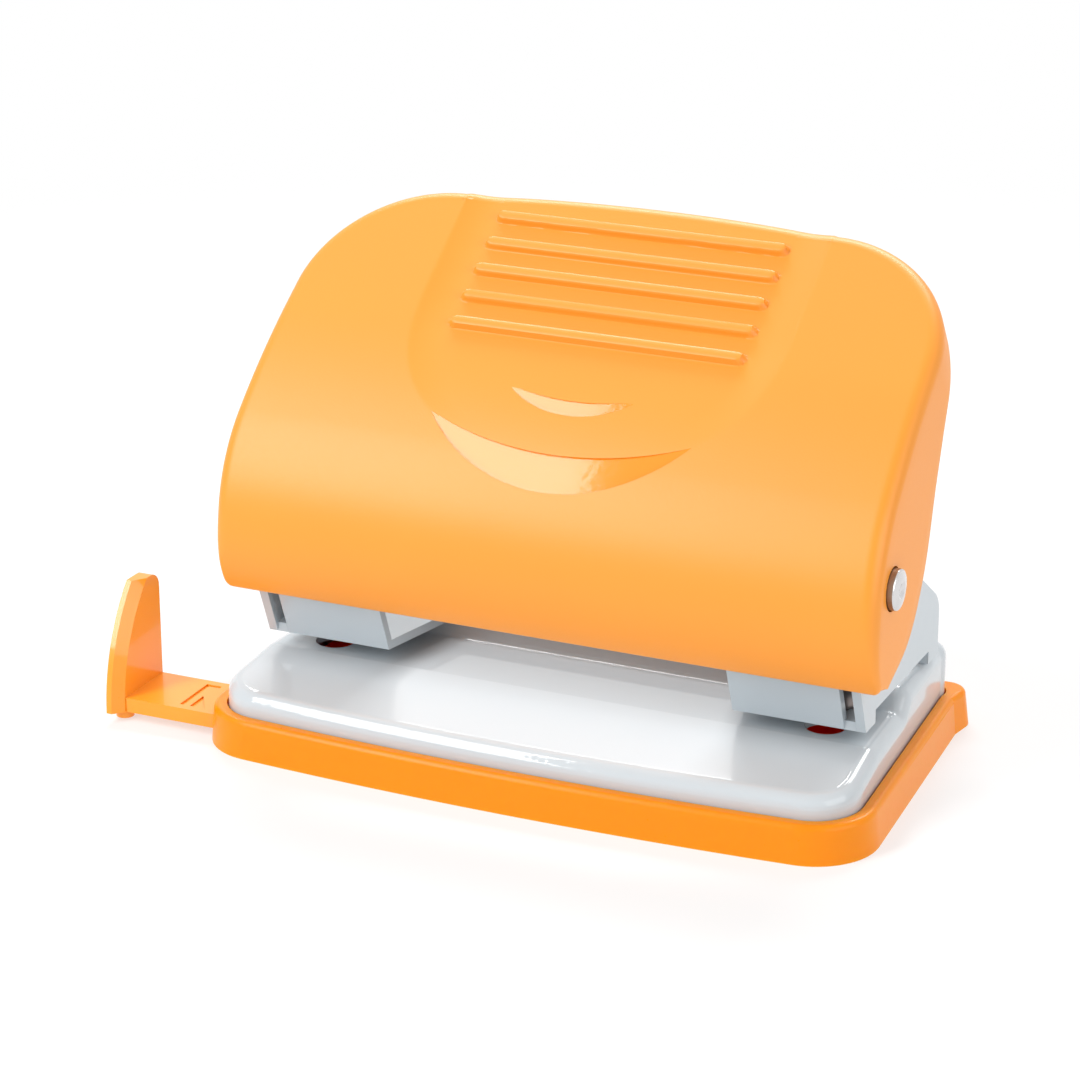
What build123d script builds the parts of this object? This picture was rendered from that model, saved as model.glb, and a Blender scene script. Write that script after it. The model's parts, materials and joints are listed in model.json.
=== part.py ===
"""Two-hole desk punch: a sprung lever presses two pins through a sheet into a chip tray.

Millimetres, +Z up, +Y away from the user. The origin is on the desk, midway between the two holes.
"""
from build123d import *
import math
import os

# Holes and pins
HOLE_SPACING = 80.0
PIN_DIAMETER = 6.0
DIE_CLEARANCE = 0.1
PIN_RUNNING_FIT = 0.06
PIN_TIP_LIFT = 0.3
PIN_TIP_HOLLOW = 0.8
PIN_TIP_HOLLOW_RADIUS = 6.0

# Chip tray
TRAY_HALF_WIDTH = 53.1
TRAY_WAIST_TUCK = 2.4
TRAY_REAR_TUCK = 1.2
TRAY_FRONT = -25.2
TRAY_FRONT_BOW = 2.4
TRAY_WIDEST = -13.0
TRAY_WAIST = 29.3
TRAY_REAR = 36.4
TRAY_HEIGHT = 5.9
TRAY_DRAFT = 5.0
TRAY_FLOOR = 1.2
TRAY_RIM = 1.9
TRAY_RIM_ROUND = 0.9
TRAY_CORNER = 10.0
TRAY_REAR_CORNER = 3.0
LEDGE_HEIGHT = 4.7
LEDGE_WIDTH = 1.5

# Paper guide, which slides in the tray
GUIDE_FRONT = -18.1
GUIDE_REAR = -6.8
GUIDE_THICKNESS = 2.3
GUIDE_SLACK = 0.3
GUIDE_STOP = -67.1
GUIDE_BLADE = 2.4
GUIDE_INNER_END = 34.0
GUIDE_BLADE_HEIGHT = 20.8
GUIDE_BLADE_FRONT = -19.9
GUIDE_BLADE_BEVEL = 1.5
GUIDE_BLADE_TOP = -12.4
GUIDE_FOOT_RADIUS = 1.4
GUIDE_MARK_X = -58.0
GUIDE_MARK_DEPTH = 0.3
GUIDE_MARK_WIDTH = 0.7
GUIDE_MARK_MARGIN = 1.4
GUIDE_MARK_FOOT = 2.2
ARROW_WIDTH = 2.6
ARROW_LENGTH = 4.2
KEEPER_WIDTH = 5.0
KEEPER_ROOF = 1.2
KEEPER_WALL = 1.0
KEEPER_PLACES = (-34.0, 12.0)

# Base plate
PLATE_SHEET = 1.2
PLATE_FIT = 0.3
PLATE_SEAT = 0.05
PLATE_FRONT_HEIGHT = 8.7
PLATE_DIE_HEIGHT = 11.2
PLATE_REAR_HEIGHT = 13.9
APRON_END = -5.0
STEP_START = 8.8
STEP_END = 11.5
STEP_CREST_ROUND = 3.2
STEP_FOOT_ROUND = 1.5
PLATE_ROUND = 2.3
PLATE_CORNER = 3.0

# Upper frame
FRAME_SHEET = 1.4
PIN_TO_HEAD_EDGE = 12.2
HEAD_FLARE = 4.0
HEAD_FRONT = -6.0
HEAD_LEAN = 22.0
HEAD_WALL_TOP = 25.0
HEAD_GAP = 1.9
PIN_TO_CHEEK = 6.8
CHEEK_SLOT_HEIGHT = 2.1
CHEEK_FOOT_END = -2.0
CHEEK_SLOT_END = 22.0
CHEEK_REAR = 26.4
CHEEK_REAR_HEIGHT = 23.0
CHEEK_REAR_ROUND = 5.0
CHEEK_SHOULDER = (10.0, 34.2)
CHEEK_EAR = 4.5
STRIP_TO_CHEEK = 1.6
STRIP_SETBACK = 0.5
REAR_WALL_HEIGHT = 5.6
REAR_WALL_HALF_WIDTH = 43.0
RIVET_PLACES = ((-34.0, 18.5), (-14.0, 18.5), (14.0, 18.5), (34.0, 18.5))
RIVET_DIAMETER = 4.0
RIVET_HEAD = 6.4
RIVET_HEAD_HEIGHT = 1.2
RIVET_FIT = 0.05

# Pivot and lever
PIVOT_Y = -8.1
PIVOT_Z = 37.3
AXLE_DIAMETER = 6.0
AXLE_FIT = 0.06
AXLE_PROUD = 2.1
AXLE_END_ROUND = 0.8
CLIP_THICKNESS = 0.8
CLIP_OUTER = 9.0
CLIP_GROOVE = 5.0
CLIP_FIT = 0.05
CLIP_MOUTH = 3.4
PRESS_ANGLE = 36.0
BAR_DIAMETER = 5.0
BAR_NECK = 3.6
BAR_TO_PIN = 0.1
LEVER_SHEET = 1.4
LEVER_TO_CHEEK = 0.4
LEVER_EAR = 4.6
LEVER_BAR_EAR = 3.9
LEVER_TOP_FROM = 14.0
LEVER_TOP_TO = 32.0
LEVER_FLANGE = 6.0

# Springs on the pins
BUSH_SHANK = 8.0
BUSH_OUTER = 9.4
BUSH_HEIGHT = 6.5
BUSH_FIT = 0.02
RING_THICKNESS = 0.8
RING_OUTER = 8.8
RING_GROOVE = 5.0
RING_BELOW_TOP = 3.2
WASHER_THICKNESS = 0.7
WASHER_OUTER = 8.8
STACK_GAP = 0.05
SPRING_WIRE = 0.9
SPRING_MEAN = 7.7
SPRING_TURNS = 5
SPRING_END_GAP = 0.05
SPRING_SAMPLES = 36

# Handle cover
COVER_TO_CHEEK = 0.9
COVER_TAPER = 2.1
COVER_WALL = 1.8
COVER_SLOPE = 35.3
COVER_TOP_Y = 27.4
COVER_TOP_Z = 77.4
COVER_FLAT = 24.9
COVER_BROW = (-8.3, 49.9)
COVER_BULGE = (-15.4, 32.4)
COVER_HEM = (-12.1, 22.4)
COVER_SIDE_LOW = (0.6, 26.4)
COVER_SIDE_MID = (9.8, 41.0)
COVER_SIDE_HIGH = (19.5, 62.0)
COVER_LIP = 4.0
COVER_CORNER = 21.0
COVER_BOTTOM_CORNER = 4.0
COVER_EDGE_ROUND = 2.4
COVER_LENGTH = 96.0
AXLE_WINDOW = 7.0
RECESS_DEPTH = 0.7
RECESS_HALF_WIDTH = 30.0
RECESS_LENGTH = 46.0
RECESS_CORNER = 14.0
RIB_COUNT = 5
RIB_PITCH = 5.17
RIB_FIRST = 4.2
RIB_HALF_LENGTH = 23.6
RIB_WIDTH = 2.0
RIB_HEIGHT = 0.9
BIG_SCOOP = ((-11.9, 45.1), 49.5, 20.5, 4.15, 10.0)
SMALL_SCOOP = ((-3.3, 54.0), 49.5, 10.1, 1.3, 3.8)
SCREW_X = 36.5
SCREW_ROWS = (18.0, 28.0)
SCREW_DIAMETER = 2.6
SCREW_HEAD = 5.6
SCREW_HEAD_HEIGHT = 1.8
SCREW_BITE = 2.2
SCREW_FIT = 0.1
BOSS_DIAMETER = 6.5
LEVER_BELOW_COVER = 1.2

PIN_X = HOLE_SPACING / 2
PIN_RADIUS = PIN_DIAMETER / 2
SIDES = (("left", -1), ("right", 1))
FRAME_UNDERSIDE = PLATE_REAR_HEIGHT
FRAME_TOP = FRAME_UNDERSIDE + FRAME_SHEET
BUSH_TOP = FRAME_TOP + BUSH_HEIGHT
STRIP_FRONT = STEP_END + STRIP_SETBACK
HEAD_INNER = PIN_X - PIN_TO_HEAD_EDGE
CHEEK_INNER = PIN_X + PIN_TO_CHEEK
CHEEK_OUTER = CHEEK_INNER + FRAME_SHEET
COVER_TOP_HALF_WIDTH = CHEEK_OUTER + COVER_TO_CHEEK + COVER_WALL
COVER_HALF_WIDTH = COVER_TOP_HALF_WIDTH + COVER_TAPER
AXLE_REACH = COVER_TOP_HALF_WIDTH + AXLE_PROUD
TRAY_WAIST_HALF_WIDTH = TRAY_HALF_WIDTH - TRAY_WAIST_TUCK
TRAY_REAR_HALF_WIDTH = TRAY_HALF_WIDTH - TRAY_REAR_TUCK
LEVER_OUTER = CHEEK_INNER - LEVER_TO_CHEEK
DRAFT_SHIFT = TRAY_HEIGHT * math.tan(math.radians(TRAY_DRAFT))
RIM_INSET = DRAFT_SHIFT + TRAY_RIM
PLATE_INSET = RIM_INSET + PLATE_FIT
BAR_RISE = -PIVOT_Y * math.tan(math.radians(PRESS_ANGLE / 2))
BAR_Z = PIVOT_Z + BAR_RISE
PIN_TOP = BAR_Z - BAR_DIAMETER / 2 - BAR_TO_PIN
PIN_TIP = FRAME_UNDERSIDE + PIN_TIP_LIFT
SLOPE_COS = math.cos(math.radians(COVER_SLOPE))
SLOPE_SIN = math.sin(math.radians(COVER_SLOPE))
COVER_PLANE = Plane(
    origin=(0, COVER_TOP_Y, COVER_TOP_Z), x_dir=(1, 0, 0), z_dir=(0, -SLOPE_SIN, SLOPE_COS)
)
LEVER_DEPTH = COVER_WALL + LEVER_BELOW_COVER
LEVER_PLANE = COVER_PLANE.offset(-LEVER_DEPTH)
RING_Z = PIN_TOP - RING_BELOW_TOP - RING_THICKNESS
WASHER_Z = RING_Z - STACK_GAP - WASHER_THICKNESS
FAR = 200.0

# How far a face's normal may turn and still count as facing up, outwards or sideways
FACES_UP = 0.5
FACES_OUT = 0.3
UPRIGHT = 0.1

os.makedirs("parts", exist_ok=True)


def save(part, name):
    """Label a finished piece and write it as its own file."""
    part.label = name
    export_step(part, f"parts/{name}.step")


def on_slope(along, depth=0.0):
    """Y and Z of a point on the handle's slope, measured down from the top edge and into it."""
    return (
        COVER_TOP_Y - along * SLOPE_COS + depth * SLOPE_SIN,
        COVER_TOP_Z - along * SLOPE_SIN - depth * SLOPE_COS,
    )


def base_outline(inset, rear_corner):
    """Outline of the base seen from above: bowed front, waisted sides and a flared rear grip."""
    front_corner_y = TRAY_FRONT + TRAY_FRONT_BOW
    with BuildSketch() as outline:
        with BuildLine():
            ThreePointArc(
                (-TRAY_HALF_WIDTH, front_corner_y),
                (0, TRAY_FRONT),
                (TRAY_HALF_WIDTH, front_corner_y),
            )
            Polyline(
                (TRAY_HALF_WIDTH, front_corner_y),
                (TRAY_HALF_WIDTH, TRAY_WIDEST),
                (TRAY_WAIST_HALF_WIDTH, TRAY_WAIST),
                (TRAY_REAR_HALF_WIDTH, TRAY_REAR),
                (-TRAY_REAR_HALF_WIDTH, TRAY_REAR),
                (-TRAY_WAIST_HALF_WIDTH, TRAY_WAIST),
                (-TRAY_HALF_WIDTH, TRAY_WIDEST),
                (-TRAY_HALF_WIDTH, front_corner_y),
            )
        make_face()
        fillet(outline.vertices().group_by(Axis.Y)[0], TRAY_CORNER)
        if inset:
            offset(amount=-inset, kind=Kind.INTERSECTION)
        rear_vertices = outline.vertices().group_by(Axis.Y)[-1].sort_by(Axis.X)
        fillet((rear_vertices[0], rear_vertices[-1]), rear_corner)
    return outline.sketch


def plate_form(inset):
    """The base plate as a solid block, or its hollow when inset by the sheet's thickness."""
    step_tilt = math.atan2(PLATE_REAR_HEIGHT - PLATE_DIE_HEIGHT, STEP_END - STEP_START)
    step_shift = inset * math.tan(step_tilt / 2)
    step_foot = (STEP_START + step_shift, PLATE_DIE_HEIGHT - inset)
    step_crest = (STEP_END + step_shift, PLATE_REAR_HEIGHT - inset)
    with BuildPart() as form:
        with BuildSketch(Plane.XY.offset(LEDGE_HEIGHT + PLATE_SEAT)):
            add(base_outline(PLATE_INSET + inset, PLATE_CORNER - inset))
        extrude(amount=FAR)
        with BuildSketch(Plane.YZ):
            with BuildLine():
                Polyline(
                    (TRAY_FRONT, 0),
                    (TRAY_FRONT, PLATE_FRONT_HEIGHT - inset),
                    (APRON_END, PLATE_DIE_HEIGHT - inset),
                    step_foot,
                    step_crest,
                    (TRAY_REAR, PLATE_REAR_HEIGHT - inset),
                    (TRAY_REAR, 0),
                    close=True,
                )
            make_face()
            fillet(vertices().sort_by_distance(step_crest)[0], STEP_CREST_ROUND - inset)
            fillet(vertices().sort_by_distance(step_foot)[0], STEP_FOOT_ROUND + inset)
        extrude(amount=FAR, both=True, mode=Mode.INTERSECT)
        tops = form.faces().filter_by(lambda face: face.normal_at().Z > FACES_UP)
        sides = form.faces().filter_by(lambda face: abs(face.normal_at().Z) < UPRIGHT)
        side_edges = sides.edges()
        rim = [edge for edge in tops.edges() if any(edge.is_same(other) for other in side_edges)]
        fillet(rim, PLATE_ROUND - inset)
    return form.part


# Chip tray: a shallow drafted pan with a ledge for the plate and two keepers over the guide
guide_bottom = TRAY_FLOOR + GUIDE_SLACK
guide_top = guide_bottom + GUIDE_THICKNESS
guide_mid = (GUIDE_FRONT + GUIDE_REAR) / 2
guide_width = GUIDE_REAR - GUIDE_FRONT
slot_width = guide_width + 2 * GUIDE_SLACK
keeper_top = guide_top + GUIDE_SLACK + KEEPER_ROOF
with BuildPart() as chip_tray:
    with BuildSketch():
        add(base_outline(0, TRAY_REAR_CORNER))
    with BuildSketch(Plane.XY.offset(TRAY_HEIGHT)):
        add(base_outline(DRAFT_SHIFT, TRAY_REAR_CORNER))
    loft(ruled=True)
    fillet(chip_tray.faces().sort_by(Axis.Z)[-1].edges(), TRAY_RIM_ROUND)
    with BuildSketch(Plane.XY.offset(LEDGE_HEIGHT)):
        add(base_outline(RIM_INSET, PLATE_CORNER + PLATE_FIT))
    extrude(amount=FAR, mode=Mode.SUBTRACT)
    with BuildSketch(Plane.XY.offset(TRAY_FLOOR)):
        add(base_outline(RIM_INSET + LEDGE_WIDTH, PLATE_CORNER - LEDGE_WIDTH))
    extrude(amount=FAR, mode=Mode.SUBTRACT)
    with Locations([(x, guide_mid, TRAY_FLOOR) for x in KEEPER_PLACES]):
        Box(
            KEEPER_WIDTH,
            slot_width + 2 * KEEPER_WALL,
            keeper_top - TRAY_FLOOR,
            align=(Align.CENTER, Align.CENTER, Align.MIN),
        )
    with Locations((GUIDE_INNER_END, guide_mid, TRAY_FLOOR)):
        Box(
            FAR,
            slot_width,
            guide_top + GUIDE_SLACK - TRAY_FLOOR,
            align=(Align.MAX, Align.CENTER, Align.MIN),
            mode=Mode.SUBTRACT,
        )
save(chip_tray.part, "chip_tray")

# Paper guide: a flat tongue, an upright blade with a swept front edge and a small foot under it
blade_x = GUIDE_STOP - GUIDE_BLADE
mark_front = GUIDE_FRONT + GUIDE_MARK_MARGIN
mark_rear = GUIDE_REAR - GUIDE_MARK_MARGIN
arrow_x = GUIDE_MARK_X + 2 * GUIDE_MARK_WIDTH
with BuildPart() as paper_guide:
    with Locations((GUIDE_STOP, guide_mid, guide_bottom)):
        Box(
            GUIDE_INNER_END - GUIDE_STOP,
            guide_width,
            GUIDE_THICKNESS,
            align=(Align.MIN, Align.CENTER, Align.MIN),
        )
    with BuildSketch(Plane.YZ.offset(blade_x)):
        with BuildLine():
            front_foot = (GUIDE_BLADE_FRONT, guide_bottom)
            top_front = (GUIDE_BLADE_TOP, GUIDE_BLADE_HEIGHT)
            top_rear = (GUIDE_REAR, GUIDE_BLADE_HEIGHT)
            TangentArc(front_foot, top_front, tangent=(0, 1))
            Polyline(top_front, top_rear, (GUIDE_REAR, guide_bottom), front_foot)
        make_face()
        fillet(vertices().sort_by(Axis((0, 0, 0), (1, 1, 0)))[-1], GUIDE_BLADE)
    extrude(amount=GUIDE_BLADE)
    swept_edges = paper_guide.edges().filter_by(GeomType.CIRCLE).group_by(SortBy.LENGTH)[-1]
    chamfer(swept_edges.sort_by(Axis.X)[-1], GUIDE_BLADE_BEVEL)
    with Locations((blade_x + GUIDE_FOOT_RADIUS, GUIDE_FRONT + GUIDE_FOOT_RADIUS, guide_bottom)):
        Cylinder(
            GUIDE_FOOT_RADIUS,
            guide_bottom - GUIDE_SLACK,
            align=(Align.CENTER, Align.CENTER, Align.MAX),
        )
    with BuildSketch(Plane.XY.offset(guide_top - GUIDE_MARK_DEPTH)):
        with Locations((GUIDE_MARK_X, mark_rear)):
            Rectangle(GUIDE_MARK_WIDTH, mark_rear - mark_front, align=(Align.CENTER, Align.MAX))
            Rectangle(GUIDE_MARK_FOOT, GUIDE_MARK_WIDTH, align=(Align.MIN, Align.MAX))
        with BuildLine():
            Polyline(
                (arrow_x, mark_front),
                (arrow_x + ARROW_WIDTH, mark_front),
                (arrow_x, mark_front + ARROW_LENGTH),
                close=True,
            )
        make_face()
    extrude(amount=GUIDE_MARK_DEPTH, mode=Mode.SUBTRACT)
save(paper_guide.part, "paper_guide")

# Base plate: a pressed pan turned over, with a ramp up to the dies and a raised rear
with BuildPart() as base_plate:
    add(plate_form(0))
    add(plate_form(PLATE_SHEET), mode=Mode.SUBTRACT)
    with Locations([(sign * PIN_X, 0, PLATE_DIE_HEIGHT) for _, sign in SIDES]):
        Hole(PIN_RADIUS + DIE_CLEARANCE, depth=2 * PLATE_SHEET)
    with Locations([(x, y, PLATE_REAR_HEIGHT) for x, y in RIVET_PLACES]):
        Hole(RIVET_DIAMETER / 2 + RIVET_FIT, depth=2 * PLATE_SHEET)
save(base_plate.part, "base_plate")

# Upper frame: a flat floor on the raised plate, two heads with leaning fronts, and side cheeks
lean = math.tan(math.radians(HEAD_LEAN))
wall_slant = FRAME_SHEET / math.cos(math.radians(HEAD_LEAN))
head_outer = CHEEK_INNER - HEAD_GAP
strip_half = CHEEK_INNER - STRIP_TO_CHEEK
head_top_y = HEAD_FRONT - lean * (HEAD_WALL_TOP - FRAME_UNDERSIDE)
cheek_underside = FRAME_UNDERSIDE + CHEEK_SLOT_HEIGHT
with BuildPart() as upper_frame:
    with BuildSketch(Plane.XY.offset(FRAME_UNDERSIDE)):
        with Locations((0, STRIP_FRONT)):
            Rectangle(2 * strip_half, CHEEK_REAR - STRIP_FRONT, align=(Align.CENTER, Align.MIN))
        with Locations((0, CHEEK_REAR)):
            Rectangle(2 * CHEEK_OUTER, CHEEK_REAR - CHEEK_SLOT_END, align=(Align.CENTER, Align.MAX))
        for _, sign in SIDES:
            with BuildLine():
                Polyline(
                    (sign * HEAD_INNER, HEAD_FRONT),
                    (sign * (HEAD_INNER - HEAD_FLARE), STRIP_FRONT),
                    (sign * strip_half, STRIP_FRONT),
                    (sign * strip_half, CHEEK_FOOT_END),
                    (sign * CHEEK_OUTER, CHEEK_FOOT_END),
                    (sign * CHEEK_OUTER, HEAD_FRONT),
                    close=True,
                )
            make_face()
    extrude(amount=FRAME_SHEET)
    with Locations((0, CHEEK_REAR, FRAME_UNDERSIDE)):
        Box(
            2 * REAR_WALL_HALF_WIDTH,
            FRAME_SHEET,
            REAR_WALL_HEIGHT,
            align=(Align.CENTER, Align.MAX, Align.MIN),
        )
    with BuildSketch(Plane.YZ.offset(HEAD_INNER)):
        with BuildLine():
            Polyline(
                (HEAD_FRONT, FRAME_UNDERSIDE),
                (head_top_y, HEAD_WALL_TOP),
                (head_top_y + wall_slant, HEAD_WALL_TOP),
                (HEAD_FRONT + wall_slant, FRAME_UNDERSIDE),
                close=True,
            )
        make_face()
    extrude(amount=head_outer - HEAD_INNER)
    mirror(about=Plane.YZ)
    with BuildSketch(Plane.YZ.offset(CHEEK_INNER)):
        with BuildLine():
            Polyline(
                (HEAD_FRONT, FRAME_UNDERSIDE),
                (head_top_y, HEAD_WALL_TOP),
                (PIVOT_Y - CHEEK_EAR, PIVOT_Z),
                (PIVOT_Y, PIVOT_Z + CHEEK_EAR),
                CHEEK_SHOULDER,
                (CHEEK_REAR, CHEEK_REAR_HEIGHT),
                (CHEEK_REAR, FRAME_UNDERSIDE),
                (CHEEK_SLOT_END, FRAME_UNDERSIDE),
                (CHEEK_SLOT_END, cheek_underside),
                (CHEEK_FOOT_END, cheek_underside),
                (CHEEK_FOOT_END, FRAME_UNDERSIDE),
                close=True,
            )
        make_face()
        rear_top = vertices().group_by(Axis.X)[-1].sort_by(Axis.Y)[-1]
        fillet(rear_top, CHEEK_REAR_ROUND)
        with Locations((PIVOT_Y, PIVOT_Z)):
            Circle(CHEEK_EAR)
            Circle(AXLE_DIAMETER / 2 + AXLE_FIT, mode=Mode.SUBTRACT)
    cheek = extrude(amount=FRAME_SHEET)
    mirror(cheek, about=Plane.YZ)
    with Locations([(sign * PIN_X, 0, FRAME_TOP) for _, sign in SIDES]):
        Hole(BUSH_SHANK / 2 + BUSH_FIT, depth=2 * FRAME_SHEET)
    with Locations([(x, y, FRAME_TOP) for x, y in RIVET_PLACES]):
        Hole(RIVET_DIAMETER / 2 + RIVET_FIT, depth=2 * FRAME_SHEET)
save(upper_frame.part, "upper_frame")

# Rivets through the rear strip and the raised plate
rivet_low = PLATE_REAR_HEIGHT - PLATE_SHEET
with BuildPart() as frame_rivets:
    with Locations([(x, y, rivet_low) for x, y in RIVET_PLACES]):
        Cylinder(
            RIVET_DIAMETER / 2,
            FRAME_TOP - rivet_low,
            align=(Align.CENTER, Align.CENTER, Align.MIN),
        )
        Cylinder(
            RIVET_HEAD / 2,
            RIVET_HEAD_HEIGHT,
            align=(Align.CENTER, Align.CENTER, Align.MAX),
        )
    with Locations([(x, y, FRAME_TOP) for x, y in RIVET_PLACES]):
        Cylinder(
            RIVET_HEAD / 2,
            RIVET_HEAD_HEIGHT,
            align=(Align.CENTER, Align.CENTER, Align.MIN),
        )
    head_rims = frame_rivets.edges().filter_by(GeomType.CIRCLE).group_by(Axis.Z)[-1]
    fillet(head_rims, RIVET_HEAD_HEIGHT / 2)
save(frame_rivets.part, "frame_rivets")


def spring_path(x, low, high):
    """A helix as pairs of tangent arcs, one pair for each quarter turn."""
    radius = SPRING_MEAN / 2
    quarters = 4 * SPRING_TURNS
    rise = (high - low) / quarters

    def station(index):
        angle = index * math.pi / 2
        place = Vector(x + radius * math.cos(angle), radius * math.sin(angle), low + rise * index)
        heading = Vector(-math.sin(angle), math.cos(angle), rise / (radius * math.pi / 2))
        return place, heading.normalized()

    with BuildLine() as path:
        for index in range(quarters):
            start, heading = station(index)
            end, last_heading = station(index + 1)
            step = end - start
            both = heading + last_heading
            spread = 2 * (1 - heading.dot(last_heading))
            along = step.dot(both)
            reach = (math.sqrt(along * along + spread * step.dot(step)) - along) / spread
            joint = (start + end + (heading - last_heading) * reach) * 0.5
            first = TangentArc(start, joint, tangent=heading)
            TangentArc(joint, end, tangent=first % 1)
    return path.line


def least_self_gap(path):
    """Least clear space between points of the wire that lie at least half a turn apart."""
    steps = SPRING_SAMPLES * SPRING_TURNS
    points = [path @ (index / steps) for index in range(steps + 1)]
    half_turn = SPRING_SAMPLES // 2
    return min(
        (points[later] - points[earlier]).length - SPRING_WIRE
        for earlier in range(steps + 1)
        for later in range(earlier + half_turn, steps + 1)
    )


spring_low = BUSH_TOP + SPRING_END_GAP + SPRING_WIRE / 2
spring_high = WASHER_Z - SPRING_END_GAP - SPRING_WIRE / 2

for side, sign in SIDES:
    x = sign * PIN_X

    # Guide bush: pressed into the frame's floor, it leads the pin
    with BuildPart() as guide_bush:
        with Locations((x, 0, PIN_TIP)):
            Cylinder(BUSH_SHANK / 2, BUSH_TOP - PIN_TIP, align=(Align.CENTER, Align.CENTER, Align.MIN))
        with Locations((x, 0, FRAME_TOP)):
            Cylinder(BUSH_OUTER / 2, BUSH_TOP - FRAME_TOP, align=(Align.CENTER, Align.CENTER, Align.MIN))
        with Locations((x, 0, BUSH_TOP)):
            Hole(PIN_RADIUS + PIN_RUNNING_FIT, depth=BUSH_TOP)
    save(guide_bush.part, f"guide_bush_{side}")

    # Punch pin: hollow-ground tip, groove for the ring near the top
    with BuildPart() as punch_pin:
        with Locations((x, 0, PIN_TIP)):
            Cylinder(PIN_RADIUS, PIN_TOP - PIN_TIP, align=(Align.CENTER, Align.CENTER, Align.MIN))
        with Locations((x, 0, PIN_TIP + PIN_TIP_HOLLOW - PIN_TIP_HOLLOW_RADIUS)):
            Cylinder(PIN_TIP_HOLLOW_RADIUS, FAR, rotation=(90, 0, 0), mode=Mode.SUBTRACT)
        with BuildSketch(Plane.XY.offset(RING_Z)):
            with Locations((x, 0)):
                Circle(PIN_DIAMETER)
                Circle(RING_GROOVE / 2, mode=Mode.SUBTRACT)
        extrude(amount=RING_THICKNESS, mode=Mode.SUBTRACT)
    save(punch_pin.part, f"punch_pin_{side}")

    # Retaining ring: snaps into the groove from the side
    with BuildPart() as retaining_ring:
        with BuildSketch(Plane.XY.offset(RING_Z)):
            with Locations((x, 0)):
                Circle(RING_OUTER / 2)
                Circle(RING_GROOVE / 2 + STACK_GAP, mode=Mode.SUBTRACT)
            with Locations((x, RING_OUTER / 2)):
                Rectangle(CLIP_MOUTH, RING_OUTER, mode=Mode.SUBTRACT)
        extrude(amount=RING_THICKNESS)
    save(retaining_ring.part, f"retaining_ring_{side}")

    # Spring washer: spreads the spring's push under the ring
    with BuildPart() as spring_washer:
        with BuildSketch(Plane.XY.offset(WASHER_Z)):
            with Locations((x, 0)):
                Circle(WASHER_OUTER / 2)
                Circle(PIN_RADIUS + STACK_GAP, mode=Mode.SUBTRACT)
        extrude(amount=WASHER_THICKNESS)
    save(spring_washer.part, f"spring_washer_{side}")

    # Return spring: one wire wound round the pin
    coil = spring_path(x, spring_low, spring_high)
    print(f"return_spring_{side} least gap to itself {least_self_gap(coil):.2f} mm")
    with BuildPart() as return_spring:
        with BuildSketch(Plane(origin=coil @ 0, z_dir=coil % 0)):
            Circle(SPRING_WIRE / 2)
        sweep(path=coil)
    save(return_spring.part, f"return_spring_{side}")

# Pivot axle: bright bar across the cheeks with rounded ends and a groove for each clip
clip_x = CHEEK_OUTER + STACK_GAP
with BuildPart() as pivot_axle:
    with BuildSketch(Plane.YZ.offset(-AXLE_REACH)):
        with Locations((PIVOT_Y, PIVOT_Z)):
            Circle(AXLE_DIAMETER / 2)
    extrude(amount=2 * AXLE_REACH)
    fillet(pivot_axle.edges().filter_by(GeomType.CIRCLE), AXLE_END_ROUND)
    for start in (clip_x, -clip_x - CLIP_THICKNESS):
        with BuildSketch(Plane.YZ.offset(start)):
            with Locations((PIVOT_Y, PIVOT_Z)):
                Circle(AXLE_DIAMETER)
                Circle(CLIP_GROOVE / 2, mode=Mode.SUBTRACT)
        extrude(amount=CLIP_THICKNESS, mode=Mode.SUBTRACT)
save(pivot_axle.part, "pivot_axle")

# Axle clips: one outside each cheek
with BuildPart() as axle_clips:
    for start in (clip_x, -clip_x - CLIP_THICKNESS):
        with BuildSketch(Plane.YZ.offset(start)):
            with Locations((PIVOT_Y, PIVOT_Z)):
                Circle(CLIP_OUTER / 2)
                Circle(CLIP_GROOVE / 2 + CLIP_FIT, mode=Mode.SUBTRACT)
            with Locations((PIVOT_Y, PIVOT_Z - CLIP_OUTER / 2)):
                Rectangle(CLIP_MOUTH, CLIP_OUTER, mode=Mode.SUBTRACT)
        extrude(amount=CLIP_THICKNESS)
save(axle_clips.part, "axle_clips")

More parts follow.
